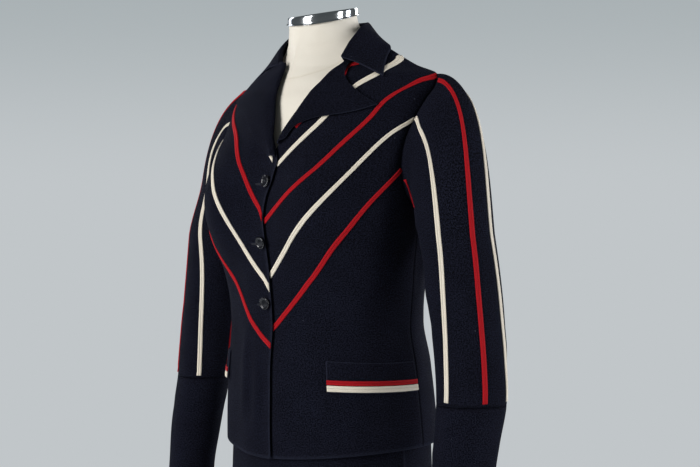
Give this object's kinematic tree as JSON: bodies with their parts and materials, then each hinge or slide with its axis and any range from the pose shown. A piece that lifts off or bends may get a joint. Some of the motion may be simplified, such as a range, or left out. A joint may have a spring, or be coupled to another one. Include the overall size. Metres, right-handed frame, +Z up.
{
  "type": "knitted suit on a dress form",
  "caption": "Knitted jacket with pointed lapels, chevron braid stripes and pocket flaps over a plain knitted skirt, on a limbless dress form with a stand.",
  "frame": {"origin": "centre of the underside of the stand base, on the floor, with the pole straight above it", "axes": "+Z up, the front of the suit faces -Y, the left side of the wearer is +X"},
  "size_m": [0.6288, 0.36, 1.5086],
  "materials": {
    "back": "navy fine wool knit, matt with a slight nap",
    "braid_cream_low_left": "cream knitted braid with a fine groove",
    "braid_cream_low_right": "cream knitted braid with a fine groove",
    "braid_cream_top_left": "cream knitted braid with a fine groove",
    "braid_cream_top_right": "cream knitted braid with a fine groove",
    "braid_red_low_left": "deep red knitted braid",
    "braid_red_low_right": "deep red knitted braid",
    "braid_red_mid_left": "deep red knitted braid",
    "braid_red_mid_right": "deep red knitted braid",
    "braid_red_top_left": "deep red knitted braid",
    "braid_red_top_right": "deep red knitted braid",
    "button_1": "dark navy, glossy, rimmed",
    "button_2": "dark navy, glossy, rimmed",
    "button_3": "dark navy, glossy, rimmed",
    "collar": "navy fine wool knit, matt with a slight nap",
    "flap_cream_left": "cream knitted braid with a fine groove",
    "flap_cream_right": "cream knitted braid with a fine groove",
    "flap_red_left": "deep red knitted braid",
    "flap_red_right": "deep red knitted braid",
    "form_body": "off-white cotton jersey over a padded form",
    "front_left": "navy fine wool knit, matt with a slight nap",
    "front_right": "navy fine wool knit, matt with a slight nap",
    "lapel_left": "navy fine wool knit, matt with a slight nap",
    "lapel_right": "navy fine wool knit, matt with a slight nap",
    "neck_cap": "polished",
    "pocket_flap_left": "navy fine wool knit, matt with a slight nap",
    "pocket_flap_right": "navy fine wool knit, matt with a slight nap",
    "skirt_back": "navy fine wool knit, matt with a slight nap",
    "skirt_front": "navy fine wool knit, matt with a slight nap",
    "skirt_waistband": "navy fine wool knit, matt with a slight nap",
    "sleeve_cream_back_left": "cream knitted braid with a fine groove",
    "sleeve_cream_back_right": "cream knitted braid with a fine groove",
    "sleeve_cream_front_left": "cream knitted braid with a fine groove",
    "sleeve_cream_front_right": "cream knitted braid with a fine groove",
    "sleeve_end_left": "navy fine wool knit, matt with a slight nap",
    "sleeve_end_right": "navy fine wool knit, matt with a slight nap",
    "sleeve_left": "navy fine wool knit, matt with a slight nap",
    "sleeve_red_inner_left": "deep red knitted braid",
    "sleeve_red_inner_right": "deep red knitted braid",
    "sleeve_red_top_left": "deep red knitted braid",
    "sleeve_red_top_right": "deep red knitted braid",
    "sleeve_right": "navy fine wool knit, matt with a slight nap",
    "stand_base": "black, half matt",
    "stand_pole": "satin"
  },
  "bodies": {
    "root": {"back": "back", "braid_cream_low_left": "braid_cream_low_left", "braid_cream_low_right": "braid_cream_low_right", "braid_cream_top_left": "braid_cream_top_left", "braid_cream_top_right": "braid_cream_top_right", "braid_red_low_left": "braid_red_low_left", "braid_red_low_right": "braid_red_low_right", "braid_red_mid_left": "braid_red_mid_left", "braid_red_mid_right": "braid_red_mid_right", "braid_red_top_left": "braid_red_top_left", "braid_red_top_right": "braid_red_top_right", "button_1": "button_1", "button_2": "button_2", "button_3": "button_3", "collar": "collar", "flap_cream_left": "flap_cream_left", "flap_cream_right": "flap_cream_right", "flap_red_left": "flap_red_left", "flap_red_right": "flap_red_right", "form_body": "form_body", "front_left": "front_left", "front_right": "front_right", "lapel_left": "lapel_left", "lapel_right": "lapel_right", "neck_cap": "neck_cap", "pocket_flap_left": "pocket_flap_left", "pocket_flap_right": "pocket_flap_right", "skirt_back": "skirt_back", "skirt_front": "skirt_front", "skirt_waistband": "skirt_waistband", "sleeve_cream_back_left": "sleeve_cream_back_left", "sleeve_cream_back_right": "sleeve_cream_back_right", "sleeve_cream_front_left": "sleeve_cream_front_left", "sleeve_cream_front_right": "sleeve_cream_front_right", "sleeve_end_left": "sleeve_end_left", "sleeve_end_right": "sleeve_end_right", "sleeve_left": "sleeve_left", "sleeve_red_inner_left": "sleeve_red_inner_left", "sleeve_red_inner_right": "sleeve_red_inner_right", "sleeve_red_top_left": "sleeve_red_top_left", "sleeve_red_top_right": "sleeve_red_top_right", "sleeve_right": "sleeve_right", "stand_base": "stand_base", "stand_pole": "stand_pole"}
  },
  "joints": []
}
